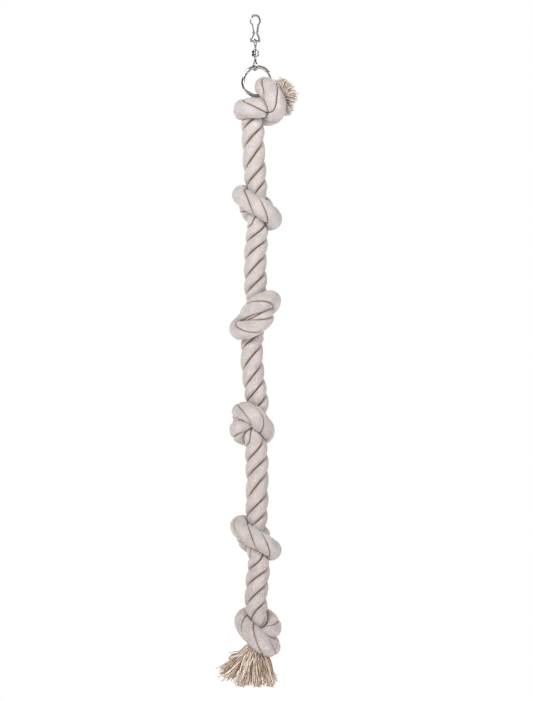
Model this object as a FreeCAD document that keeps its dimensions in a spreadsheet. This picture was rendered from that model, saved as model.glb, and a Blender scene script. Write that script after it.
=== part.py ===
import FreeCAD, Part
import math
import os
from FreeCAD import Placement, Rotation, Vector

# A knotted climbing rope that hangs from a snap clip: clip, swivel, ring, and one rope with six knots.
# Millimetres. The origin is the centre of the clip's hook, +Z is up and -Y is the front.

DRIVING_SIZES = [
    ("hook_radius", 5.1),
    ("frame_width", 2.4),
    ("frame_depth", 3.0),
    ("frame_edge", 0.6),
    ("bar_radius", 1.15),
    ("bar_length", 11.2),
    ("bar_drop", 23.2),
    ("leg_side", 4.4),
    ("waist_drop", 14.2),
    ("waist_side", 1.7),
    ("boss_radius", 1.6),
    ("boss_depth", 3.4),
    ("rivet_radius", 0.6),
    ("rivet_head_radius", 1.0),
    ("rivet_head_height", 0.35),
    ("gate_width", 1.8),
    ("gate_depth", 2.6),
    ("gate_tongue", 1.2),
    ("gate_fork_gap", 1.5),
    ("gate_fork_clearance", 0.25),
    ("gate_tongue_height", 2.4),
    ("gate_edge", 0.5),
    ("gate_bore_radius", 0.65),
    ("stem_radius", 1.1),
    ("stem_clearance", 0.06),
    ("head_radius", 2.3),
    ("head_height", 1.0),
    ("collar_share", 1.75),
    ("upper_eye_wire", 0.7),
    ("upper_eye_radius", 2.8),
    ("lower_eye_wire", 0.9),
    ("lower_eye_radius", 4.1),
    ("barrel_radius", 3.9),
    ("barrel_top", 32.9),
    ("barrel_height", 7.4),
    ("barrel_wall", 1.0),
    ("barrel_shoulder", 1.3),
    ("barrel_groove", 0.55),
    ("ring_radius", 15.8),
    ("ring_wire", 2.0),
    ("ring_side", 2.3),
    ("ring_drop", 67.5),
    ("rope_radius", 12.0),
    ("knot_rope_radius", 6.25),
    ("neck_length", 9.0),
    ("bend_setback", 13.5),
    ("knot_reach", 0.88),
    ("tassel_top_radius", 12.0),
    ("tassel_bottom_radius", 28.0),
    ("tassel_side", -7.0),
    ("tassel_bottom", 733.6),
]

doc = FreeCAD.newDocument("knotted_rope")
sheet = doc.addObject("Spreadsheet::Sheet", "sizes")
for row, (word, number) in enumerate(DRIVING_SIZES, start=1):
    sheet.set(f"A{row}", word)
    sheet.set(f"B{row}", str(number))
    sheet.setAlias(f"B{row}", word)
doc.recompute()


def size(word):
    """A driving dimension, read back from the sheet."""
    return float(sheet.get(word))


def bind(thing, **formulas):
    """Tie properties of an object to formulas on the sheet's words."""
    words = [word for word, _ in DRIVING_SIZES]
    for name, formula in formulas.items():
        pieces = ["sizes." + piece if piece in words else piece for piece in formula.split()]
        thing.setExpression(name, " ".join(pieces))


def primitive(kind, name, place=None, **formulas):
    """A Part primitive with its sizes bound to the sheet."""
    thing = doc.addObject("Part::" + kind, name)
    if place is not None:
        thing.Placement = place
    bind(thing, **formulas)
    return thing


def joined(name, pieces):
    """One solid out of several touching ones."""
    fuse = doc.addObject("Part::MultiFuse", name)
    fuse.Shapes = pieces
    return fuse


def less(name, base, tool):
    """The base with the tool's space taken out."""
    cut = doc.addObject("Part::Cut", name)
    cut.Base = base
    cut.Tool = tool
    return cut


def feature(name, shape):
    """A sub-part whose shape comes straight from Part's own functions."""
    thing = doc.addObject("Part::Feature", name)
    thing.Shape = shape
    return thing


def rounded_path(points, cut_share=0.45):
    """Straight runs joined by tangent arcs, each as large as its two runs allow."""
    points = [Vector(*point) for point in points]
    edges = []
    radii = []
    start = points[0]
    for before, corner, after in zip(points, points[1:], points[2:]):
        run_in = corner - before
        run_out = after - corner
        turn = run_in.getAngle(run_out)
        cut = cut_share * min(run_in.Length, run_out.Length)
        radius = cut / math.tan(turn / 2)
        radii.append(radius)
        run_in.normalize()
        run_out.normalize()
        arc_start = corner - run_in * cut
        arc_end = corner + run_out * cut
        inward = run_out - run_in
        inward.normalize()
        arc_middle = corner + inward * (radius / math.cos(turn / 2) - radius)
        edges.append(Part.LineSegment(start, arc_start).toShape())
        edges.append(Part.Arc(arc_start, arc_middle, arc_end).toShape())
        start = arc_end
    edges.append(Part.LineSegment(start, points[-1]).toShape())
    return Part.Wire(edges), radii


def tube(name, points, radius):
    """A round tube along a rounded path, with its volume compared with section times length."""
    path, radii = rounded_path(points)
    first = Vector(*points[0])
    heading = Vector(*points[1]) - first
    section = Part.Wire(Part.makeCircle(radius, first, heading))
    solid = path.makePipeShell([section], True, False)
    expected = math.pi * radius ** 2 * path.Length
    print(f"{name}: length {path.Length:.1f}, volume ratio {solid.Volume / expected:.4f}")
    print("   arc radii", [round(value, 1) for value in radii])
    return solid


# The clip's frame: a flat hook and right leg, a round foot bar, and a short left leg that holds the gate.

HALF_TURN = math.pi


def add_flat_path(sketch, points):
    """Put a rounded path in the XZ plane into a sketch."""
    path, _ = rounded_path([(x, 0, z) for x, z in points])
    to_sketch = Rotation(Vector(1, 0, 0), -90)
    turned = path.copy()
    turned.Placement = Placement(Vector(), to_sketch)
    for edge in turned.Edges:
        curve = edge.Curve
        if isinstance(curve, Part.Line):
            ends = [vertex.Point for vertex in edge.Vertexes]
            sketch.addGeometry(Part.LineSegment(*ends))
        else:
            middle = edge.valueAt((edge.FirstParameter + edge.LastParameter) / 2)
            first = edge.valueAt(edge.FirstParameter)
            last = edge.valueAt(edge.LastParameter)
            sketch.addGeometry(Part.Arc(first, middle, last))


def origin_plane(body, role):
    """One of a body's own origin planes."""
    return next(item for item in body.Origin.OriginFeatures if item.Role == role)


def sketch_on(body, name, role, lift=0.0):
    """A sketch on one of the body's origin planes, lifted along the plane's normal."""
    sketch = body.newObject("Sketcher::SketchObject", name)
    sketch.AttachmentSupport = [(origin_plane(body, role), "")]
    sketch.MapMode = "FlatFace"
    sketch.AttachmentOffset = Placement(Vector(0, 0, lift), Rotation())
    return sketch


def add_rounded_rectangle(sketch, middle, width, depth, edge):
    """Four lines and four quarter arcs, centred on a point of the sketch."""
    x_side, y_side = width / 2, depth / 2
    corners = [(1, 1), (-1, 1), (-1, -1), (1, -1)]
    for quarter, (sx, sy) in enumerate(corners):
        centre = Vector(middle + sx * (x_side - edge), sy * (y_side - edge), 0)
        circle = Part.Circle(centre, Vector(0, 0, 1), edge)
        begin = quarter * HALF_TURN / 2
        sketch.addGeometry(Part.ArcOfCircle(circle, begin, begin + HALF_TURN / 2))
        next_sx, next_sy = corners[(quarter + 1) % 4]
        if quarter % 2 == 0:
            line_start = Vector(centre.x, centre.y + sy * edge, 0)
            line_end = Vector(middle + next_sx * (x_side - edge), line_start.y, 0)
        else:
            line_start = Vector(centre.x + sx * edge, centre.y, 0)
            line_end = Vector(line_start.x, next_sy * (y_side - edge), 0)
        sketch.addGeometry(Part.LineSegment(line_start, line_end))


def leg_pipe(body, name, foot_side, fill_path):
    """A rounded rectangle carried up a flat path that starts at the foot bar."""
    path = sketch_on(body, name + "_path", "XZ_Plane")
    fill_path(path)
    section = sketch_on(body, name + "_section", "XY_Plane", -size("bar_drop"))
    add_rounded_rectangle(section, foot_side, size("frame_width"), size("frame_depth"), size("frame_edge"))
    doc.recompute()
    pipe = body.newObject("PartDesign::AdditivePipe", name)
    pipe.Profile = section
    pipe.Spine = (path, [f"Edge{index + 1}" for index in range(len(path.Shape.Edges))])
    doc.recompute()
    return pipe


def fill_hook_path(sketch):
    """Leg corners with tangent arcs, then the hook as one true arc."""
    reach = size("hook_radius")
    throat, tip = math.radians(-30), math.radians(152)
    joint = Vector(reach * math.cos(throat), reach * math.sin(throat), 0)
    straight_lead = 2.4
    below = joint + Vector(math.sin(throat), -math.cos(throat), 0) * straight_lead
    side = size("leg_side")
    points = [(side, -size("bar_drop")), (side, -19.0), (2.2, -15.4), (below.x, below.y), (joint.x, joint.y)]
    add_flat_path(sketch, points)
    circle = Part.Circle(Vector(), Vector(0, 0, 1), reach)
    sketch.addGeometry(Part.ArcOfCircle(circle, throat, tip))


def fill_short_leg_path(sketch):
    """From the foot bar's left end up to the gate's boss."""
    side = -size("leg_side")
    into_boss = (-size("waist_side"), -size("waist_drop") - 1.5)
    add_flat_path(sketch, [(side, -size("bar_drop")), (side, -19.6), into_boss])


def clip_frame():
    body = doc.addObject("PartDesign::Body", "clip_frame")
    leg_pipe(body, "hook_and_leg", size("leg_side"), fill_hook_path)
    leg_pipe(body, "short_leg", -size("leg_side"), fill_short_leg_path)
    bar = body.newObject("PartDesign::AdditiveCylinder", "foot_bar")
    bind(bar, Radius="bar_radius", Height="bar_length")
    bar.AttachmentSupport = [(origin_plane(body, "YZ_Plane"), "")]
    bar.MapMode = "FlatFace"
    bar.AttachmentOffset = Placement(Vector(0, -size("bar_drop"), -size("bar_length") / 2), Rotation())
    boss_sketch = sketch_on(body, "boss_outline", "XZ_Plane")
    waist = Vector(-size("waist_side"), -size("waist_drop"), 0)
    boss_sketch.addGeometry(Part.Circle(waist, Vector(0, 0, 1), size("boss_radius")))
    boss = body.newObject("PartDesign::Pad", "gate_boss")
    boss.Profile = boss_sketch
    boss.Midplane = True
    bind(boss, Length="boss_depth")
    doc.recompute()
    slot_sketch = sketch_on(body, "fork_outline", "XZ_Plane")
    slot_radius = size("boss_radius") + size("gate_fork_clearance")
    slot_sketch.addGeometry(Part.Circle(waist, Vector(0, 0, 1), slot_radius))
    slot = body.newObject("PartDesign::Pocket", "gate_fork")
    slot.Profile = slot_sketch
    slot.Midplane = True
    bind(slot, Length="gate_fork_gap")
    hole_sketch = sketch_on(body, "rivet_outline", "XZ_Plane")
    hole_sketch.addGeometry(Part.Circle(waist, Vector(0, 0, 1), size("rivet_radius")))
    hole = body.newObject("PartDesign::Pocket", "rivet_hole")
    hole.Profile = hole_sketch
    hole.Midplane = True
    bind(hole, Length="boss_depth * 2")
    doc.recompute()
    return body


# The gate: a sprung lever riveted in the fork at the waist, its tip tucked inside the hook's tip.

def along_y(x, y, z):
    """Turn a Part cylinder's axis to run from y towards the back."""
    return Placement(Vector(x, y, z), Rotation(Vector(1, 0, 0), -90))


def rounded_rectangle_wire(middle, width, depth, edge):
    """A level rounded rectangle round a point, as a wire."""
    plate = Part.makeBox(width, depth, 1, middle - Vector(width / 2, depth / 2, 0))
    upright = [item for item in plate.Edges if item.BoundBox.ZLength > 0.5]
    rounded = plate.makeFillet(edge, upright)
    return min(rounded.Faces, key=lambda face: face.CenterOfMass.z).OuterWire


def gate():
    side, drop = -size("waist_side"), -size("waist_drop")
    width, depth = size("gate_width"), size("gate_depth")
    points = [(side, 0, drop + 2.0), (-2.3, 0, -9.0), (-2.6, 0, -5.6), (-5.3, 0, -2.6), (-4.9, 0, 0.7)]
    path, _ = rounded_path(points, 0.4)
    section = rounded_rectangle_wire(Vector(*points[0]), width, depth, size("gate_edge"))
    bar = path.makePipeShell([section], True, False)
    strip = feature("gate_strip", bar)
    tongue_half = size("gate_tongue") / 2
    eye = primitive("Cylinder", "gate_eye", along_y(side, -tongue_half, drop),
                    Radius="boss_radius - 0.1", Height="gate_tongue")
    tongue_place = Placement(Vector(side - width / 2, -tongue_half, drop), Rotation())
    tongue = primitive("Box", "gate_tongue_block", tongue_place,
                       Width="gate_tongue", Length="gate_width", Height="gate_tongue_height")
    whole = joined("gate_blank", [strip, eye, tongue])
    bore = primitive("Cylinder", "gate_bore", along_y(side, -depth, drop),
                     Radius="gate_bore_radius", Height="gate_depth * 2")
    return less("gate", whole, bore)


def gate_rivet():
    side, drop = -size("waist_side"), -size("waist_drop")
    half = size("boss_depth") / 2
    head = size("rivet_head_height")
    pin = primitive("Cylinder", "rivet_pin", along_y(side, -half, drop),
                    Radius="rivet_radius", Height="boss_depth")
    front = primitive("Cylinder", "rivet_front", along_y(side, -half - head, drop),
                      Radius="rivet_head_radius", Height="rivet_head_height")
    back = primitive("Cylinder", "rivet_back", along_y(side, half, drop),
                     Radius="rivet_head_radius", Height="rivet_head_height")
    return joined("gate_rivet", [pin, front, back])


# The swivel: two drop-shaped eyes whose headed stems turn in one hollow barrel.

def eye(name, sign, loop_z, loop_radius, wire, apex_z, head_z, yaw):
    """A drop-shaped wire loop closed on a stem, with the stem's head inside the barrel."""
    reach = abs(apex_z - loop_z)
    lean = math.asin(loop_radius / reach)
    side = loop_radius * math.cos(lean)
    touch_z = loop_z - sign * loop_radius * math.sin(lean)
    apex = Vector(0, 0, apex_z)
    inward = Vector(0, 0, -sign)
    left = Vector(0, -side, touch_z)
    right = Vector(0, side, touch_z)
    crown = Vector(0, 0, loop_z + sign * loop_radius)
    path = Part.Wire([
        Part.LineSegment(apex, left).toShape(),
        Part.Arc(left, crown, right).toShape(),
        Part.LineSegment(right, apex).toShape(),
    ])
    section = Part.Wire(Part.makeCircle(wire, apex, left - apex))
    loop = path.makePipeShell([section], True, False, 1)
    collar = Part.makeSphere(wire * size("collar_share"), apex)
    stem_length = abs(head_z - apex_z)
    stem = Part.makeCylinder(size("stem_radius"), stem_length, apex, inward)
    head = Part.makeCylinder(size("head_radius"), size("head_height"), Vector(0, 0, head_z), inward)
    solid = loop.multiFuse([collar, stem, head]).removeSplitter()
    part = feature(name, solid)
    part.Placement = Placement(Vector(), Rotation(Vector(0, 0, 1), yaw))
    return part


def swivel_barrel():
    """The hollow barrel, with a shallow groove round its middle and a hole at each end."""
    top = -size("barrel_top")
    bottom = top - size("barrel_height")
    middle = (top + bottom) / 2
    outer, wall = size("barrel_radius"), size("barrel_wall")
    hole = size("stem_radius") + size("stem_clearance")
    shoulder = size("barrel_shoulder")
    groove = size("barrel_groove")
    body = doc.addObject("PartDesign::Body", "swivel_barrel")
    sketch = sketch_on(body, "barrel_profile", "XZ_Plane")

    def line(start, end):
        sketch.addGeometry(Part.LineSegment(Vector(*start, 0), Vector(*end, 0)))

    def arc(start, through, end):
        sketch.addGeometry(Part.Arc(Vector(*start, 0), Vector(*through, 0), Vector(*end, 0)))

    slant = shoulder * (1 - math.sqrt(0.5))
    line((hole, top), (outer - shoulder, top))
    arc((outer - shoulder, top), (outer - slant, top - slant), (outer, top - shoulder))
    line((outer, top - shoulder), (outer, middle + groove))
    arc((outer, middle + groove), (outer - groove, middle), (outer, middle - groove))
    line((outer, middle - groove), (outer, bottom + shoulder))
    arc((outer, bottom + shoulder), (outer - slant, bottom + slant), (outer - shoulder, bottom))
    line((outer - shoulder, bottom), (hole, bottom))
    line((hole, bottom), (hole, bottom + wall))
    line((hole, bottom + wall), (outer - wall, bottom + wall))
    line((outer - wall, bottom + wall), (outer - wall, top - wall))
    line((outer - wall, top - wall), (hole, top - wall))
    line((hole, top - wall), (hole, top))
    turned = body.newObject("PartDesign::Revolution", "barrel_turned")
    turned.Profile = sketch
    turned.ReferenceAxis = (sketch, ["V_Axis"])
    turned.Angle = 360
    doc.recompute()
    return body


def ring():
    """A welded round-wire ring that faces the front."""
    centre = Vector(size("ring_side"), 0, -size("ring_drop"))
    place = Placement(centre, Rotation(Vector(1, 0, 0), 90))
    return primitive("Torus", "ring", place, Radius1="ring_radius", Radius2="ring_wire")


# The rope. Each knot is a tube pulled thin, each stretch between knots is two halves that meet at a bend.

NECKS = [
    ((-3.0, -114.0), (-1.8, -147.3), (0.8, -184.7)),
    ((3.0, -228.7), (-0.6, -262.8), (0.8, -300.0)),
    ((-4.2, -350.8), (-3.5, -386.0), (3.0, -423.4)),
    ((1.3, -467.4), (2.4, -508.0), (1.3, -548.8)),
    ((5.2, -592.8), (1.4, -621.4), (0.2, -647.8)),
]
LAST_KNOT_FOOT = (-2.0, -699.0)

# Each knot below the first: how far it is turned about the rope, and how far it sits to one side.
KNOT_TIES = [(0.0, 0.0), (180.0, 3.0), (58.0, -6.0), (0.0, -4.0), (-48.0, 4.5)]

RING_KNOT = [
    (-3, 0, -114), (-3, 0, -103), (0, 4, -93), (12, 14, -89), (17, 12, -78), (7, 10, -70), (7, -10, -70),
    (17, -15, -81), (25, -15, -95), (20, 0, -108.5), (5, 14, -106), (-12, 15, -101), (-19, 0, -97),
    (-11, -14, -96), (5, -12, -98), (15, 1, -92.5), (28, 3, -90),
]

OVERHAND = [
    (0, 0, 33), (1.5, 0, 20), (-6, 1.5, 8), (-13, 14.5, -1), (0.5, 22.5, -16.5), (17, 12, -22),
    (20.5, -6.5, -17), (12, -15.5, -6), (-5.5, -16.5, 6), (-17.5, -13, 17), (-20, 6, 24),
    (-7, 20.5, 20.5), (8.5, 19.5, 7), (9, 5, -4.5), (-2, -0.5, -14.5), (0, 0, -33),
]

TAIL = [(28, 3, -90), (34.5, 4, -89), (40, 5, -82)]


def overhand_route(head, foot, turn, aside):
    """The overhand knot's route fitted between the rope's head and foot, turned about the rope."""
    tall = (head[1] - foot[1]) / (OVERHAND[0][2] - OVERHAND[-1][2])
    middle_z = (head[1] + foot[1]) / 2
    spin = Rotation(Vector(0, 0, 1), turn)
    route = []
    for x, y, z in OVERHAND:
        share = (z - OVERHAND[-1][2]) / (OVERHAND[0][2] - OVERHAND[-1][2])
        axis_x = foot[0] + (head[0] - foot[0]) * share + aside * 4 * share * (1 - share)
        flat = spin.multVec(Vector(x, y, 0)) * size("knot_reach")
        route.append((axis_x + flat.x, flat.y, middle_z + z * tall))
    return route


def knots():
    made = [feature("knot_1", tube("knot_1", RING_KNOT, size("knot_rope_radius")))]
    heads = [neck[2] for neck in NECKS]
    feet = [neck[0] for neck in NECKS[1:]] + [LAST_KNOT_FOOT]
    for number, (head, foot, tie) in enumerate(zip(heads, feet, KNOT_TIES), start=2):
        name = f"knot_{number}"
        route = overhand_route(head, foot, *tie)
        made.append(feature(name, tube(name, route, size("knot_rope_radius"))))
    return made


def half_stretch(name, knot_end, bend):
    """Half of a stretch: a cone that widens from the knot, a cylinder, and a round end at the bend."""
    start = Vector(knot_end[0], 0, knot_end[1])
    pivot = Vector(bend[0], 0, bend[1])
    heading = pivot - start
    length = heading.Length - size("bend_setback")
    turn = Rotation(Vector(0, 0, 1), heading)
    cone = primitive("Cone", name + "_neck", Placement(start, turn),
                     Radius1="knot_rope_radius", Radius2="rope_radius", Height="neck_length")
    heading.normalize()
    barrel_start = start + heading * size("neck_length")
    barrel = primitive("Cylinder", name + "_barrel", Placement(barrel_start, turn), Radius="rope_radius")
    barrel.Height = length - size("neck_length")
    end = primitive("Sphere", name + "_end", Placement(start + heading * length, turn), Radius="rope_radius")
    return joined(name, [cone, barrel, end])


def stretches():
    made = []
    for number, (foot, bend, head) in enumerate(NECKS, start=1):
        made.append(half_stretch(f"stretch_{number}_upper", foot, bend))
        made.append(half_stretch(f"stretch_{number}_lower", head, bend))
    return made


def tassel():
    """The frayed end below the last knot, as one plain spreading cone."""
    bottom = -size("tassel_bottom")
    base = Vector(size("tassel_side"), 0, bottom)
    cone = primitive("Cone", "tassel", Placement(base, Rotation()),
                     Radius1="tassel_bottom_radius", Radius2="tassel_top_radius")
    cone.Height = LAST_KNOT_FOOT[1] - bottom
    return cone


parts = [clip_frame(), gate(), gate_rivet()]
parts.append(eye("upper_eye", sign=1, loop_z=-23.8, loop_radius=size("upper_eye_radius"),
                 wire=size("upper_eye_wire"), apex_z=-31.6, head_z=-34.1, yaw=-25))
parts.append(swivel_barrel())
parts.append(eye("lower_eye", sign=-1, loop_z=-51.05, loop_radius=size("lower_eye_radius"),
                 wire=size("lower_eye_wire"), apex_z=-42.4, head_z=-39.1, yaw=30))
parts.append(ring())
parts.extend(knots())
parts.extend(stretches())
parts.append(feature("frayed_tail", tube("frayed_tail", TAIL, size("knot_rope_radius"))))
parts.append(tassel())
doc.recompute()

for thing in doc.Objects:
    if "Invalid" in thing.State or "Error" in thing.State:
        raise RuntimeError(f"{thing.Name} did not compute: {thing.State}")

os.makedirs("parts", exist_ok=True)
for thing in parts:
    thing.Label = thing.Name
    if thing.Shape.isNull() or not thing.Shape.isValid():
        raise RuntimeError(f"{thing.Label} has no valid shape")
    thing.Shape.exportStep(f"parts/{thing.Label}.step")
    box = thing.Shape.BoundBox
    print(f"{thing.Label}: {len(thing.Shape.Solids)} solid, {thing.Shape.Volume:.1f} mm3, "
          f"x {box.XMin:.1f} {box.XMax:.1f} y {box.YMin:.1f} {box.YMax:.1f} z {box.ZMin:.1f} {box.ZMax:.1f}")
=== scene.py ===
import math
import random

import bmesh
import bpy
import numpy as np
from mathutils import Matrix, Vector


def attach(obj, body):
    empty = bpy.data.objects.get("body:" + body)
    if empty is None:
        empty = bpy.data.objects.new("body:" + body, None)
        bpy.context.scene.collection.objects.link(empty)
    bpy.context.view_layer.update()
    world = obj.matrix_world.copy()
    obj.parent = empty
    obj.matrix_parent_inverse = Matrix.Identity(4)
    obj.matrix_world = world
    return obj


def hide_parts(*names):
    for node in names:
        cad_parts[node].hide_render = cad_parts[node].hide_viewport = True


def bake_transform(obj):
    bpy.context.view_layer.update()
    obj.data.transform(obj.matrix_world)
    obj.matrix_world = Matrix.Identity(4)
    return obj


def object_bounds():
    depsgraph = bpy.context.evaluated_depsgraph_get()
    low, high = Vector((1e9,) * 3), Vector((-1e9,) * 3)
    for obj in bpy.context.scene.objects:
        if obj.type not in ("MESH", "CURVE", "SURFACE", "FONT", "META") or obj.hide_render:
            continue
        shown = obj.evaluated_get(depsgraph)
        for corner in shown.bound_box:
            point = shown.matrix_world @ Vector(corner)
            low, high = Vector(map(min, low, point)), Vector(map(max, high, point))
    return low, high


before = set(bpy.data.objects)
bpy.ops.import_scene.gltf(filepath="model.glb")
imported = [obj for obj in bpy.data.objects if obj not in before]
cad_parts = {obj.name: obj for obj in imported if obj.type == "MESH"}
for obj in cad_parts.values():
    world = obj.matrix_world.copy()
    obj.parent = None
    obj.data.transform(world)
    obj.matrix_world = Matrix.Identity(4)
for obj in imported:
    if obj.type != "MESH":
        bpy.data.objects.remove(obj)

cad_low, cad_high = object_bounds()

# ---- Camera -----------------------------------------------------------------------------------
# A long lens, level with the middle of the rope and square to the front, so that nothing is
# foreshortened. The hanging rope stands a little left of the middle of a tall white frame.

camera_distance = 4.0
view_height = 0.7711
view_middle = Vector((0.0123, 0.0, -0.3634))
lens_data = bpy.data.cameras.new("studio_camera")
lens_data.sensor_width = 36.0
lens_data.lens = lens_data.sensor_width * camera_distance / view_height
camera = bpy.data.objects.new("studio_camera", lens_data)
camera.location = view_middle + Vector((0.0, -camera_distance, 0.0))
camera.rotation_euler = (math.pi / 2, 0.0, 0.0)
bpy.context.collection.objects.link(camera)
bpy.context.scene.camera = camera

# ---- Rope -------------------------------------------------------------------------------------
# One length of soft three-strand cotton rope, 24 mm thick and laid right-handed. Its upper end is
# tied round the ring in the first knot, five more overhand knots follow, and it frays out below.

rope_radius = 0.0120
rope_pitch = 0.058

# The ring's knot: from the cut end, round the body of the knot, through the ring and down.
ring_knot = [
    (0.028, 0.006, -0.087), (0.015, 0.002, -0.0915), (0.005, -0.012, -0.098), (-0.007, -0.014, -0.0975),
    (-0.0145, 0.000, -0.0985), (-0.009, 0.014, -0.1020), (0.005, 0.014, -0.1045), (0.020, 0.000, -0.1045),
    (0.024, -0.015, -0.095), (0.018, -0.015, -0.083), (0.0105, -0.011, -0.0735), (0.0100, 0.010, -0.0735),
    (0.017, 0.012, -0.080), (0.012, 0.014, -0.089), (0.000, 0.004, -0.093), (-0.003, 0.000, -0.103),
    (-0.003, 0.000, -0.114),
]

# One overhand knot on its own axis, from where the rope comes in above to where it leaves below.
overhand = [
    (0.0000, 0.0000, 0.0330), (0.0015, 0.0000, 0.0200), (-0.0060, 0.0015, 0.0080), (-0.0130, 0.0145, -0.0010),
    (0.0005, 0.0225, -0.0165), (0.0170, 0.0120, -0.0220), (0.0205, -0.0065, -0.0170),
    (0.0120, -0.0155, -0.0060), (-0.0055, -0.0165, 0.0060), (-0.0175, -0.0130, 0.0170),
    (-0.0200, 0.0060, 0.0240), (-0.0070, 0.0205, 0.0205), (0.0085, 0.0195, 0.0070),
    (0.0090, 0.0050, -0.0045), (-0.0020, -0.0005, -0.0145), (0.0000, 0.0000, -0.0330),
]

# Each stretch: where the knot above lets go, where the rope bends, and where the next knot begins.
stretches = [
    ((-0.0030, -0.1140), (-0.0018, -0.1473), (0.0008, -0.1847)),
    ((0.0030, -0.2287), (-0.0006, -0.2628), (0.0008, -0.3000)),
    ((-0.0042, -0.3508), (-0.0035, -0.3860), (0.0030, -0.4234)),
    ((0.0013, -0.4674), (0.0024, -0.5080), (0.0013, -0.5488)),
    ((0.0052, -0.5928), (0.0014, -0.6214), (0.0002, -0.6478)),
]
rope_foot = (-0.0020, -0.6990)

# Each knot below the first: how far it is turned about the rope, how wide it is pulled, and how far
# it sits to one side.
knot_ties = [
    (0.0, 0.86, 0.0000), (180.0, 0.88, 0.0030), (58.0, 0.76, -0.0060), (0.0, 0.88, -0.0040),
    (-48.0, 0.84, 0.0045),
]


def overhand_route(head, foot, turn, reach, aside):
    """The overhand knot between the rope's head and foot, turned about the rope by so many degrees."""
    top, bottom = overhand[0][2], overhand[-1][2]
    tall = (head[1] - foot[1]) / (top - bottom)
    middle = (head[1] + foot[1]) / 2
    cos_turn, sin_turn = math.cos(math.radians(turn)), math.sin(math.radians(turn))
    route = []
    for x, y, z in overhand:
        share = (z - bottom) / (top - bottom)
        axis_x = foot[0] + (head[0] - foot[0]) * share + aside * 4 * share * (1 - share)
        across = (x * cos_turn - y * sin_turn) * reach
        deep = (x * sin_turn + y * cos_turn) * reach
        route.append((axis_x + across, deep, middle + z * tall))
    return route


rope_points = list(ring_knot)
knot_feet = [stretch[0] for stretch in stretches[1:]] + [rope_foot]
for (_, bend, head), foot, tie in zip(stretches, knot_feet, knot_ties):
    rope_points.append((bend[0], 0.0, bend[1]))
    rope_points += overhand_route(head, foot, *tie)

route_steps = 24


def read_nurbs(name, points, spacing):
    """Even points along the smooth line that has the given points as its control points."""
    curve = bpy.data.curves.new(name, "CURVE")
    curve.dimensions = "3D"
    curve.resolution_u = route_steps
    spline = curve.splines.new("NURBS")
    spline.points.add(len(points) - 1)
    for spot, place in zip(spline.points, points):
        spot.co = (*place, 1.0)
    spline.order_u = 3
    spline.use_endpoint_u = True
    holder = bpy.data.objects.new(name, curve)
    line = bpy.data.meshes.new_from_object(holder)
    found = np.array([vertex.co[:] for vertex in line.vertices])
    bpy.data.objects.remove(holder)
    bpy.data.curves.remove(curve)
    bpy.data.meshes.remove(line)
    steps = np.linalg.norm(np.diff(found, axis=0), axis=1)
    along = np.concatenate([[0.0], np.cumsum(steps)])
    count = int(round(along[-1] / spacing))
    even = np.linspace(0.0, along[-1], count + 1)
    return np.stack([np.interp(even, along, found[:, axis]) for axis in range(3)], axis=1), even


cut_spacing = 0.0008
rope_line, rope_along = read_nurbs("rope_route", rope_points, cut_spacing)


def smoothed(values, reach):
    """A running mean along the line."""
    kernel = np.ones(2 * reach + 1) / (2 * reach + 1)
    padded = np.concatenate([np.repeat(values[:1], reach, 0), values, np.repeat(values[-1:], reach, 0)])
    columns = [np.convolve(column, kernel, "valid") for column in padded.T]
    return np.stack(columns, axis=1)


def line_frames(line):
    """Tangents, and side directions that turn as little as possible along the line."""
    tangents = np.gradient(line, axis=0)
    tangents /= np.linalg.norm(tangents, axis=1, keepdims=True)
    sides = np.empty_like(line)
    side = np.cross(tangents[0], (0.0, 0.0, 1.0))
    for index, tangent in enumerate(tangents):
        side = side - tangent * side.dot(tangent)
        side /= np.linalg.norm(side)
        sides[index] = side
    return tangents, sides, np.cross(tangents, sides)


rope_tangents, rope_sides, rope_backs = line_frames(rope_line)
rope_bends = smoothed(np.gradient(rope_tangents, axis=0) / np.gradient(rope_along)[:, None], 3)

# The air between two strands, and how many steps each part of a strand's outline takes.
strand_gap = 0.0001
crown_steps, corner_steps, flank_steps, heart_steps = 60, 30, 20, 12


def strand_section(count, corner, bulge):
    """One strand's cut face: a third of the rope with rounded corners and a crown that bulges between."""
    apex = (corner + strand_gap) / math.sin(math.pi / 3)
    outer = rope_radius - corner
    half_side = math.asin((corner + strand_gap) / outer)
    spread = math.pi / 3 - half_side
    outline = []
    for angle in np.linspace(-spread, spread, crown_steps):
        outline.append((outer * math.cos(angle), outer * math.sin(angle), angle))
    for angle in np.linspace(spread, spread + half_side + math.pi / 2, corner_steps)[1:]:
        outline.append((outer * math.cos(spread), outer * math.sin(spread), angle))
    flank = math.pi / 3 + math.pi / 2
    for share in np.linspace(0.0, 1.0, flank_steps)[1:]:
        start = np.array((outer * math.cos(spread), outer * math.sin(spread)))
        spot = start + (np.array((apex, 0.0)) - start) * share
        outline.append((spot[0], spot[1], flank))
    for angle in np.linspace(flank, math.pi, heart_steps)[1:]:
        outline.append((apex, 0.0, angle))
    half = np.array([(x + corner * math.cos(a), y + corner * math.sin(a)) for x, y, a in outline])
    half = half[crown_steps // 2 - 1:]
    half *= (1.0 - bulge * (np.arctan2(half[:, 1], half[:, 0]) / (math.pi / 3)) ** 2)[:, None]
    ring = np.concatenate([half, half[::-1][1:-1] * (1.0, -1.0)])
    steps = np.linalg.norm(np.diff(np.concatenate([ring, ring[:1]]), axis=0), axis=1)
    along = np.concatenate([[0.0], np.cumsum(steps)])
    even = np.linspace(0.0, along[-1], count, endpoint=False)
    closed = np.concatenate([ring, ring[:1]])
    return np.stack([np.interp(even, along, closed[:, axis]) for axis in range(2)], axis=1)


# On a stretch the strands bulge with open grooves between them. In a knot they are pulled flat.
section_count = 48
loose_section = strand_section(section_count, 0.0037, 0.17) * 1.05
tight_section = strand_section(section_count, 0.0033, 0.04)

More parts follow.
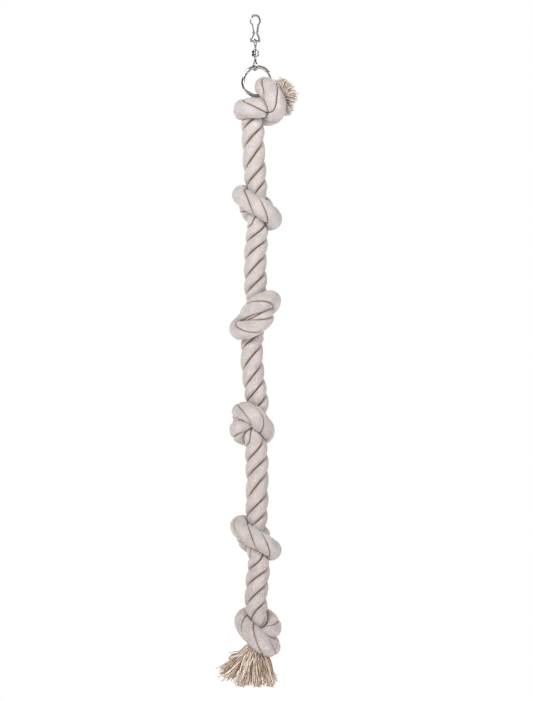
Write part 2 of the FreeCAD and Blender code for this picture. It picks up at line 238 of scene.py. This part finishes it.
# Where the ring's knot begins, and the share of a knot over which the rope tightens.
ring_knot_top = -0.060
knot_fade = 0.35


def knot_share(line):
    """How far inside a knot each point of the rope is, from 0 on a stretch to 1 in a knot."""
    spans = [(ring_knot_top, stretches[0][0][1])] + [(s[2][1], f[1]) for s, f in zip(stretches, knot_feet)]
    share = np.zeros(len(line))
    for top, bottom in spans:
        middle, reach = (top + bottom) / 2, (top - bottom) / 2
        depth = 1.0 - np.abs(line[:, 2] - middle) / reach
        share = np.maximum(share, np.clip(depth / knot_fade, 0.0, 1.0))
    return share * share * (3 - 2 * share)


# How much the rope is squeezed in the ring's knot and in the others, how it swells and thins by hand
# laying, and how its lay slips: each wave has a height and its radians in a metre of rope.
ring_knot_squeeze, knot_squeeze = 0.05, 0.12
swell_waves = [(0.016, 150.0), (0.012, 61.0)]
slip_waves = [(0.22, 37.0), (0.12, 113.0)]


def waves_along(waves):
    """The sum of a few sine waves along the rope."""
    return sum(tall * np.sin(rope_along * often) for tall, often in waves)


rope_in_knot = knot_share(rope_line)
rope_squeeze = np.where(rope_line[:, 2] > stretches[0][0][1], ring_knot_squeeze, knot_squeeze)
rope_scale = (1.0 - rope_squeeze * rope_in_knot) * (1.0 + waves_along(swell_waves))
rope_slip = waves_along(slip_waves)

# Passes of the rope nearer than this press on each other, how sharp the flat between them is, and how close a
# surface comes to it before it counts as a seam that gets painted shade.
touching = 0.026
press_sharpness = 9.0
press_start = 0.95
out_of_reach = 9.0


def press_apart(rings, centres, first, last):
    """Flatten each pass of the rope against the pass beside it, and return how hard it is pressed."""
    pressed = np.zeros(rings.shape[:2])
    for index in range(first, last):
        centre = centres[index]
        far = np.abs(rope_along - rope_along[index]) > touching
        near = np.linalg.norm(centres - centre, axis=1) < touching
        others = centres[far & near]
        if not len(others):
            continue
        spokes = rings[index - first] - centre
        gaps = centre - others
        facing = -2.0 * spokes @ gaps.T
        halfway = (gaps ** 2).sum(axis=1)[None, :] / np.maximum(facing, 1e-12)
        reach = np.where(facing > 1e-12, halfway, out_of_reach)
        share = np.minimum(reach.min(axis=1), out_of_reach)
        kept = (1.0 + share ** -press_sharpness) ** (-1.0 / press_sharpness)
        rings[index - first] = centre + spokes * kept[:, None]
        pressed[index - first] = np.clip(press_start - share, 0.0, 0.5) * 2
    return pressed


# The ring's centre, its radius and its wire's, and the room that the rope leaves round the wire.
ring_middle = np.array((0.0023, 0.0, -0.0675))
ring_radius, ring_wire = 0.0158, 0.0020
wire_clearance = 0.0002


def clear_of_ring(rings):
    """Let the rope give way round the ring's wire."""
    across = rings - ring_middle
    across[..., 1] = 0.0
    size = np.maximum(np.linalg.norm(across, axis=-1, keepdims=True), 1e-9)
    wire_middle = ring_middle + across / size * ring_radius
    offset = rings - wire_middle
    distance = np.maximum(np.linalg.norm(offset, axis=-1, keepdims=True), 1e-9)
    push = np.maximum(ring_wire + wire_clearance - distance, 0.0)
    return rings + offset / distance * push


# The yarns laid round each strand, the share of a bend's radius that the inside of the rope keeps, and where
# in the rope's radius the painted shade of a groove begins and how far deeper it takes to reach full
# strength.
yarns_round, yarn_pitch, yarn_height = 15, 0.034, 0.00042
tightest_bend = 0.80
groove_top, groove_depth = 0.91, 0.0028


def strand_rings(number, first, last):
    """One strand's cut faces along the rope, with its yarns raised on them."""
    index = slice(first, last)
    angle = 2 * math.pi * (rope_along[index] / rope_pitch + number / 3) + rope_slip[index]
    cos_angle, sin_angle = np.cos(angle)[:, None], np.sin(angle)[:, None]
    around = np.arange(section_count) / section_count
    yarn_phase = 2 * math.pi * yarns_round * (around[None, :] + rope_along[index][:, None] / yarn_pitch)
    yarn = 0.5 + 0.5 * np.cos(yarn_phase)
    tight = rope_in_knot[index][:, None, None]
    section = loose_section * (1 - tight) + tight_section * tight
    radius = np.linalg.norm(section, axis=2)
    open_side = np.clip((radius - rope_radius / 2) / (rope_radius / 3), 0.0, 1.0)
    raised = (yarn - 0.5) * yarn_height / radius.clip(rope_radius / 3) * open_side
    lift = rope_scale[index][:, None] * (1.0 + raised)
    flat_x, flat_y = section[..., 0] * lift, section[..., 1] * lift
    out_x = flat_x * cos_angle - flat_y * sin_angle
    out_y = flat_x * sin_angle + flat_y * cos_angle
    spokes = out_x[..., None] * rope_sides[index][:, None] + out_y[..., None] * rope_backs[index][:, None]
    bend = rope_bends[index]
    strength = np.maximum(np.linalg.norm(bend, axis=1), 1e-6)
    inward = bend / strength[:, None]
    depth = (spokes * inward[:, None]).sum(axis=-1)
    limit = (tightest_bend / strength)[:, None]
    squeezed = np.where(depth > limit * 0.5, limit * (1 - 0.5 * np.exp(1 - depth / (limit * 0.5))), depth)
    spokes += (np.minimum(squeezed, depth) - depth)[..., None] * inward[:, None]
    rings = rope_line[index][:, None] + spokes
    pressed = press_apart(rings, rope_line, first, last)
    rings = clear_of_ring(rings)
    # The groove mask, for the painted shade where the strands meet and where passes of the rope press
    # together.
    groove = np.clip((rope_radius * groove_top - radius) / groove_depth, 0.0, 1.0)
    return rings, np.maximum(groove, pressed), yarn


def build_strands(name, first, last):
    """The three strands between two cuts of the rope, each a sheet rolled into a tube and closed."""
    row_count, column_count = last - first, section_count + 1
    build = bmesh.new()
    groove_layer = build.verts.layers.float.new("groove")
    yarn_layer = build.verts.layers.float.new("yarn")
    for number in range(3):
        rings, groove, yarn = strand_rings(number, first, last)
        grid = bmesh.ops.create_grid(build, x_segments=section_count, y_segments=row_count - 1, size=1.0)
        sheet = grid["verts"]
        for index, vertex in enumerate(sheet):
            row, column = divmod(index, column_count)
            column %= section_count
            vertex.co = rings[row, column]
            vertex[groove_layer] = groove[row, column]
            vertex[yarn_layer] = yarn[row, column]
        seam = dict(zip(sheet[section_count::column_count], sheet[::column_count]))
        bmesh.ops.weld_verts(build, targetmap=seam)
    open_edges = [edge for edge in build.edges if edge.is_boundary]
    for edge in open_edges:
        edge.smooth = False
    bmesh.ops.holes_fill(build, edges=open_edges, sides=0)
    bmesh.ops.recalc_face_normals(build, faces=build.faces)
    mesh = bpy.data.meshes.new(name)
    build.to_mesh(mesh)
    build.free()
    mesh.shade_smooth()
    piece = bpy.data.objects.new(name, mesh)
    bpy.context.collection.objects.link(piece)
    return piece


class Socket:
    """Wraps a shader socket, so that shader maths reads as an expression."""

    def __init__(self, material, output):
        self.material = material
        self.output = output

    def math(self, operation, *values):
        return shader_node(self.material, "ShaderNodeMath", {"operation": operation}, *values)[0]

    def __add__(self, other):
        return self.math("ADD", self, other)

    def __mul__(self, other):
        return self.math("MULTIPLY", self, other)

    def __sub__(self, other):
        return self.math("SUBTRACT", self, other)

    def __rsub__(self, other):
        return self.math("SUBTRACT", other, self)

    def __pow__(self, other):
        return self.math("POWER", self, other)

    __radd__ = __add__
    __rmul__ = __mul__


def shader_node(material, kind, settings, *values, **named):
    """Add a node, set it up, feed its sockets and return its outputs wrapped."""
    node = material.node_tree.nodes.new(kind)
    for word, value in settings.items():
        if word == "stops":
            ramp = node.color_ramp
            while len(ramp.elements) < len(value):
                ramp.elements.new(0.5)
            for element, (place, colour) in zip(ramp.elements, value):
                element.position = place
                element.color = (*colour, 1.0)
        else:
            setattr(node, word, value)
    feeds = list(enumerate(values)) + [(word.replace("_", " "), value) for word, value in named.items()]
    for word, value in feeds:
        if isinstance(value, Socket):
            material.node_tree.links.new(value.output, node.inputs[word])
        elif value is not None:
            node.inputs[word].default_value = value
    return [Socket(material, output) for output in node.outputs]


def new_material(name):
    """A material with an empty node tree, apart from its output."""
    material = bpy.data.materials.new(name)
    material.use_nodes = True
    material.node_tree.nodes.clear()
    return material


def finish_material(material, **shader):
    """Close a material with one Principled shader."""
    surface = shader_node(material, "ShaderNodeBsdfPrincipled", {}, **shader)[0]
    shader_node(material, "ShaderNodeOutputMaterial", {}, surface)
    return material


def blended(material, share, first, second):
    """One colour laid over another by a share, through the Mix node's colour sockets."""
    first_colour, second_colour, mixed_colour = 6, 7, 2
    node = shader_node(material, "ShaderNodeMix", {"data_type": "RGBA"}, share)[0].output.node
    for socket, colour in ((node.inputs[first_colour], first), (node.inputs[second_colour], second)):
        if isinstance(colour, Socket):
            material.node_tree.links.new(colour.output, socket)
        else:
            socket.default_value = colour
    return Socket(material, node.outputs[mixed_colour])


def object_place(material):
    """Places on a piece in metres."""
    object_output = 3
    return shader_node(material, "ShaderNodeTexCoord", {})[object_output]


def noise(material, place, scale, detail):
    """A soft cloudy pattern of so many cells in a metre."""
    return shader_node(material, "ShaderNodeTexNoise", {}, Vector=place, Scale=scale, Detail=detail)[0]


def point_value(material, word):
    """One of the piece's own attributes."""
    factor_output = 2
    return shader_node(material, "ShaderNodeAttribute", {"attribute_name": word})[factor_output]


def colour_stops(material, share, stops):
    """A colour read from a row of stops."""
    return shader_node(material, "ShaderNodeValToRGB", {"stops": stops}, share)[0]


def cotton_material():
    """Soft off-white cotton with yarn lines: painted highlight on the yarn crowns and painted shade between
    them, painted tan and brown shade where the strands meet or press together, and painted light that pales
    the rope upward and greys it downward.
    """
    material = new_material("cotton_rope")
    place = object_place(material)
    groove = point_value(material, "groove")
    yarn = point_value(material, "yarn")
    cloud = noise(material, place, 90.0, 3.0)
    knit = noise(material, place, 620.0, 4.0)
    fibre = noise(material, place, 1400.0, 2.0)
    height = shader_node(material, "ShaderNodeSeparateXYZ", {}, place)[2]
    # Painted light by height: the rope is coloured paler towards the top and greyer towards the bottom,
    # standing in for the light falling off downward.
    rope_middle, paler_upward = -0.35, 0.26
    painted_light_by_height = (height - rope_middle) * paler_upward
    cotton_stops = [(0.22, (0.34, 0.29, 0.27)), (0.78, (0.74, 0.685, 0.675))]
    # Cloud and knit are the cotton's own grain. The yarn relief is also painted into the colour, as painted
    # highlight on the yarn crowns and painted shade in the valleys between them.
    weave_and_painted_light = cloud * 0.35 + knit * 0.40 + yarn * 0.25 + painted_light_by_height
    colour_before_seam_shade = colour_stops(material, weave_and_painted_light, cotton_stops)
    # Painted shade where the strands meet and where passes of the rope press together: tan at the groove's
    # edges, brown down in it.
    painted_edge_shade, painted_seam_shade = (0.55, 0.41, 0.29, 1.0), (0.27, 0.17, 0.105, 1.0)
    edge_shaded = blended(material, groove.math("MINIMUM", groove * 1.3, 0.85), colour_before_seam_shade, painted_edge_shade)
    seam_shaded = blended(material, groove ** 2.2, edge_shaded, painted_seam_shade)
    relief = fibre * 0.8 + yarn * 0.5
    bump = shader_node(material, "ShaderNodeBump", {}, Strength=0.5, Distance=0.0005, Height=relief)[0]
    return finish_material(material, Base_Color=seam_shaded, Roughness=0.92, Normal=bump, Sheen_Weight=0.25,
                           Sheen_Roughness=0.6, Specular_IOR_Level=0.15)


cotton = cotton_material()


def cut_at(height, after):
    """The ring of the rope nearest to a height, past a given ring."""
    below = np.flatnonzero(rope_line[after:, 2] < height)
    return after + int(below[0])


# The rope is cut just above each knot's head. A knot holds at least this much rope, and the last
# piece stops a little short, where the loose yarns take over.
least_knot_rope = 0.20
cut_above_head = 0.006
rope_end_short = 0.009
rope_cuts = [0]
for _, bend, head in stretches:
    past_bend = cut_at(bend[1], rope_cuts[-1] + int(least_knot_rope / cut_spacing))
    rope_cuts.append(cut_at(head[1] + cut_above_head, past_bend))
rope_cuts.append(len(rope_line) - 1 - int(rope_end_short / cut_spacing))

# Each length of rope between two cuts takes the place of the model's knot and stretch parts, which are
# hidden: the first five are fixed in place, the last hangs on the rope_6 body.
for number in range(1, 7):
    first, last = rope_cuts[number - 1], rope_cuts[number] + 1
    piece = build_strands(f"rope_length_{number}", first, last)
    piece.data.materials.append(cotton)
    if number < 6:
        bend = stretches[number - 1][1]
        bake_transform(piece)
        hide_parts(f"knot_{number}", f"stretch_{number}_upper", f"stretch_{number}_lower")
    else:
        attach(piece, "rope_6")
        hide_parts("knot_6")
    length = float(rope_along[last - 1] - rope_along[first])

# ---- Loose yarns ------------------------------------------------------------------------------
# The cut ends of the rope are left to fray: every strand opens into its cotton yarns, each about a
# millimetre thick. They hang in clumps below the last knot and fan out of the first one.

# How far a yarn keeps its heading, where its shoulder is, and how much it curls.
heading_share, shoulder_share = 0.45, 0.72
curled_end, curled_middle = 0.0026, 0.0012


def yarn_curve(start, heading, target, droop, curl, swing):
    """One yarn's points: out of the rope along its heading, over to its target, with a curled end."""
    start, heading, target = Vector(start), Vector(heading).normalized(), Vector(target)
    reach = (target - start).length * swing
    bulge = start + heading * reach * heading_share
    shoulder = start.lerp(target, shoulder_share) + Vector((0.0, 0.0, -droop))
    side = Vector((math.cos(curl), math.sin(curl), -0.2)) * curled_end
    wave = Vector((-math.sin(curl), math.cos(curl), 0.3)) * curled_middle
    return [start, bulge, shoulder + wave, target - wave, target + side]


def yarn_bundle(name, yarns, thickness, palest, draw):
    """All the yarns of a bundle as one mesh, each with a tone of its own, with painted shade that darkens it
    towards its root inside the bundle.
    """
    curve = bpy.data.curves.new(name, "CURVE")
    curve.dimensions = "3D"
    curve.resolution_u = 3
    curve.bevel_depth = thickness / 2
    curve.bevel_resolution = 1
    curve.use_fill_caps = True
    for points in yarns:
        spline = curve.splines.new("NURBS")
        spline.points.add(len(points) - 1)
        for spot, place in zip(spline.points, points):
            spot.co = (*place, 1.0)
            spot.radius = draw.uniform(0.75, 1.2)
        spline.order_u = 4
        spline.use_endpoint_u = True
    holder = bpy.data.objects.new(name, curve)
    mesh = bpy.data.meshes.new_from_object(holder)
    bpy.data.objects.remove(holder)
    bpy.data.curves.remove(curve)
    mesh.name = name
    mesh.shade_smooth()
    tone = mesh.attributes.new("tone", "FLOAT", "POINT")
    each = len(mesh.vertices) // len(yarns)
    tones = [palest + (1 - palest) * draw.random() for _ in yarns]
    # Painted shade: each yarn's tone is darkened towards its root, where the yarns crowd in the bundle.
    painted_root_shade = 0.45
    along_yarn = [min(1.0, painted_root_shade + index / each) for index in range(each)]
    tone.data.foreach_set("value", [shade * share for shade in tones for share in along_yarn])
    build = bmesh.new()
    build.from_mesh(mesh)
    bmesh.ops.remove_doubles(build, verts=build.verts, dist=1e-7)
    build.to_mesh(mesh)
    build.free()
    piece = bpy.data.objects.new(name, mesh)
    bpy.context.collection.objects.link(piece)
    return piece


# Each clump: how many yarns, the middle of its ends, how far they scatter, and how they droop.
tassel_clumps = [
    (95, (-0.0345, -0.007, -0.7160), (0.0055, 0.008, 0.0070), 0.004),
    (60, (-0.0270, 0.015, -0.7210), (0.0060, 0.008, 0.0060), 0.003),
    (110, (-0.0140, -0.012, -0.7275), (0.0065, 0.007, 0.0045), 0.002),
    (70, (-0.0050, 0.017, -0.7280), (0.0080, 0.007, 0.0040), 0.002),
    (90, (0.0030, -0.010, -0.7285), (0.0050, 0.007, 0.0040), 0.001),
    (100, (0.0155, -0.006, -0.7290), (0.0050, 0.008, 0.0035), 0.001),
    (60, (0.0175, 0.013, -0.7260), (0.0055, 0.007, 0.0050), 0.001),
    (14, (-0.0265, -0.006, -0.7000), (0.0040, 0.008, 0.0040), 0.000),
]
tassel_draw = random.Random(11)
rope_end = Vector(rope_line[rope_cuts[-1]])

# Where the yarns leave the rope: how far they spread there, how far they lean out, and how far up
# inside it they begin. Then how their ends scatter, how steeply they head down, and their lowest end.
foot_spread, foot_shift, foot_rise = 0.0090, 0.0022, 0.003
end_scatter, heading_down = 0.55, -0.024
lowest_end = cad_low[2] + 0.0015
tassel_yarns = []
for count, middle, scatter, droop in tassel_clumps:
    outward = Vector((middle[0] - rope_end.x, middle[1], 0.0)).normalized()
    for _ in range(count):
        turn, out = tassel_draw.uniform(0.0, 2 * math.pi), math.sqrt(tassel_draw.random())
        around = Vector((math.cos(turn), math.sin(turn), 0.0)) * out * foot_spread + outward * foot_shift
        foot = rope_end + around + Vector((0.0, 0.0, foot_rise))
        end = [place + tassel_draw.gauss(0.0, end_scatter) * spread for place, spread in zip(middle, scatter)]
        end[2] = max(end[2], lowest_end)
        heading = (end[0] - foot.x, end[1] - foot.y, heading_down)
        curl = tassel_draw.uniform(0.0, 2 * math.pi)
        tassel_yarns.append(yarn_curve(foot, heading, end, droop * tassel_draw.random(), curl, swing=1.0))
tassel_piece = yarn_bundle("tassel_yarns", tassel_yarns, thickness=0.0011, palest=0.0, draw=tassel_draw)

# Each clump of the upper end: how many yarns, the middle of its ends, and how far they scatter.
tail_clumps = [
    (130, (0.0290, 0.007, -0.0665), (0.0045, 0.007, 0.0030)),
    (160, (0.0370, 0.005, -0.0735), (0.0035, 0.009, 0.0040)),
    (200, (0.0415, 0.003, -0.0835), (0.0030, 0.010, 0.0050)),
    (150, (0.0385, 0.004, -0.0925), (0.0025, 0.009, 0.0045)),
    (90, (0.0360, 0.006, -0.1010), (0.0025, 0.007, 0.0030)),
]
tail_draw = random.Random(5)
tail_yarns = []
tail_root = Vector(rope_line[0]) + Vector((-0.003, 0.0, 0.0))
tail_spread, tail_scatter, tail_fan = 0.0105, 0.6, 30
for count, middle, scatter in tail_clumps:
    for _ in range(count):
        turn, out = tail_draw.uniform(0.0, 2 * math.pi), math.sqrt(tail_draw.random())
        spot = (0.0, math.cos(turn) * out * tail_spread, math.sin(turn) * out * tail_spread)
        foot = tail_root + Vector(spot)
        end = [place + tail_draw.gauss(0.0, tail_scatter) * spread for place, spread in zip(middle, scatter)]
        heading = (1.0, (end[1] - foot.y) * tail_fan, (end[2] - foot.z) * tail_fan)
        curl = tail_draw.uniform(0.0, 2 * math.pi)
        tail_yarns.append(yarn_curve(foot, heading, end, 0.0, curl, swing=0.8))
tail_piece = yarn_bundle("tail_yarns", tail_yarns, thickness=0.0010, palest=0.75, draw=tail_draw)


def fray_material():
    """Unbleached cotton yarn: cream to tan, each yarn its own shade, with painted shade making it darker down
    in the bundle.
    """
    material = new_material("cotton_fray")
    place = object_place(material)
    tone = point_value(material, "tone")
    cloud = noise(material, place, 160.0, 2.0)
    fibre = noise(material, place, 2600.0, 2.0)
    yarn_stops = [(0.18, (0.38, 0.28, 0.20)), (0.52, (0.64, 0.52, 0.42)), (0.80, (0.90, 0.84, 0.78))]
    shade = colour_stops(material, tone * 0.6 + cloud * 0.4, yarn_stops)
    bump = shader_node(material, "ShaderNodeBump", {}, Strength=0.5, Distance=0.0002, Height=fibre)[0]
    return finish_material(material, Base_Color=shade, Roughness=0.95, Normal=bump, Sheen_Weight=0.2,
                           Specular_IOR_Level=0.1)


fray = fray_material()
for piece, node, body in ((tassel_piece, "tassel", "rope_6"), (tail_piece, "frayed_tail", "rope_1")):
    piece.data.materials.append(fray)
    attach(piece, body)
    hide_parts(node)

# ---- Clip, swivel and ring --------------------------------------------------------------------
# Cast and turned fittings plated with bright nickel, and a welded wire ring. The plating is
# polished, slightly rippled by the casting under it, and worn a little warmer where parts rub.


def nickel_material(name, colour, worn, roughness, ripple):
    """Polished nickel plate over a casting or a wire."""
    material = new_material(name)
    place = object_place(material)
    patches = noise(material, place, 260.0, 4.0)
    waves = noise(material, place, ripple, 1.0)
    scuffs = noise(material, place, 1500.0, 3.0)
    plate = colour_stops(material, patches, [(0.40, colour), (0.72, worn)])
    relief = waves + scuffs * 0.05
    bump = shader_node(material, "ShaderNodeBump", {}, Strength=0.25, Distance=0.0003, Height=relief)[0]
    return finish_material(material, Base_Color=plate, Metallic=1.0, Roughness=scuffs * 0.12 + roughness,
                           Normal=bump)


clip_nickel = nickel_material("clip_nickel", (0.50, 0.485, 0.475), (0.30, 0.26, 0.23), 0.07, 700.0)
swivel_nickel = nickel_material("swivel_nickel", (0.54, 0.515, 0.50), (0.30, 0.25, 0.21), 0.08, 500.0)
ring_nickel = nickel_material("ring_nickel", (0.62, 0.60, 0.59), (0.42, 0.38, 0.345), 0.05, 300.0)
plated = {
    clip_nickel: ["clip_frame", "gate", "gate_rivet"],
    swivel_nickel: ["upper_eye", "swivel_barrel", "lower_eye"],
    ring_nickel: ["ring"],
}
for finish, nodes in plated.items():
    for node in nodes:
        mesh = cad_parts[node].data
        mesh.materials.clear()
        mesh.materials.append(finish)

# ---- Studio -----------------------------------------------------------------------------------
# A pale floor well below the hanging rope, a white surround whose darker bands show only in the
# polished metal, and broad soft lights, two in front of the rope and two behind it.

floor_drop, floor_radius = 0.32, 2.4
build = bmesh.new()
bmesh.ops.create_circle(build, cap_ends=True, segments=96, radius=floor_radius)
bmesh.ops.translate(build, verts=build.verts, vec=(0.0, 0.0, cad_low[2] - floor_drop))
floor_mesh = bpy.data.meshes.new("floor")
build.to_mesh(floor_mesh)
build.free()
floor = bpy.data.objects.new("floor", floor_mesh)
bpy.context.collection.objects.link(floor)
floor_material = new_material("floor_white")
floor_tone = noise(floor_material, object_place(floor_material), 3.0, 2.0)
floor_stops = [(0.0, (0.86, 0.86, 0.86)), (1.0, (0.90, 0.90, 0.90))]
floor_shade = colour_stops(floor_material, floor_tone, floor_stops)
finish_material(floor_material, Base_Color=floor_shade, Roughness=0.8, Emission_Color=(1.0, 1.0, 1.0, 1.0),
                Emission_Strength=0.4)
floor_mesh.materials.append(floor_material)

world = bpy.data.worlds.new("studio")
bpy.context.scene.world = world
world.use_nodes = True
world.node_tree.nodes.clear()
direction = shader_node(world, "ShaderNodeTexCoord", {})[0]
bands = noise(world, direction, 1.6, 0.0)
ways = shader_node(world, "ShaderNodeSeparateXYZ", {}, direction)
facing = ways[1] * ways[1]
facing_share, band_level, surround_strength = 0.35, 0.13, 0.70
band_stops = [(0.50, (0.05, 0.045, 0.045)), (0.60, (0.95, 0.95, 0.96))]
surround = colour_stops(world, bands + facing * facing_share - band_level, band_stops)
seen = shader_node(world, "ShaderNodeLightPath", {})[0]
white = shader_node(world, "ShaderNodeBackground", {}, (1.0, 1.0, 1.0, 1.0), 1.0)[0]
banded = shader_node(world, "ShaderNodeBackground", {}, surround, surround_strength)[0]
sky = shader_node(world, "ShaderNodeMixShader", {}, seen, banded, white)[0]
shader_node(world, "ShaderNodeOutputWorld", {}, sky)
bpy.context.scene.view_settings.view_transform = "Standard"

# Each light: where it stands, how wide it is, and how strong it is.
soft_lights = [
    ((-1.6, -2.3, 1.3), 1.3, 74.0),
    ((1.9, -1.8, 0.6), 1.5, 27.0),
    ((-2.0, 1.5, 0.9), 1.5, 26.0),
    ((1.6, 2.1, 1.1), 1.6, 34.0),
]
for place, width, power in soft_lights:
    light_data = bpy.data.lights.new("soft_box", "AREA")
    light_data.shape = "DISK"
    light_data.size = width
    light_data.energy = power
    light = bpy.data.objects.new("soft_box", light_data)
    light.location = place
    light.rotation_euler = (view_middle - light.location).to_track_quat("-Z", "Y").to_euler()
    bpy.context.collection.objects.link(light)
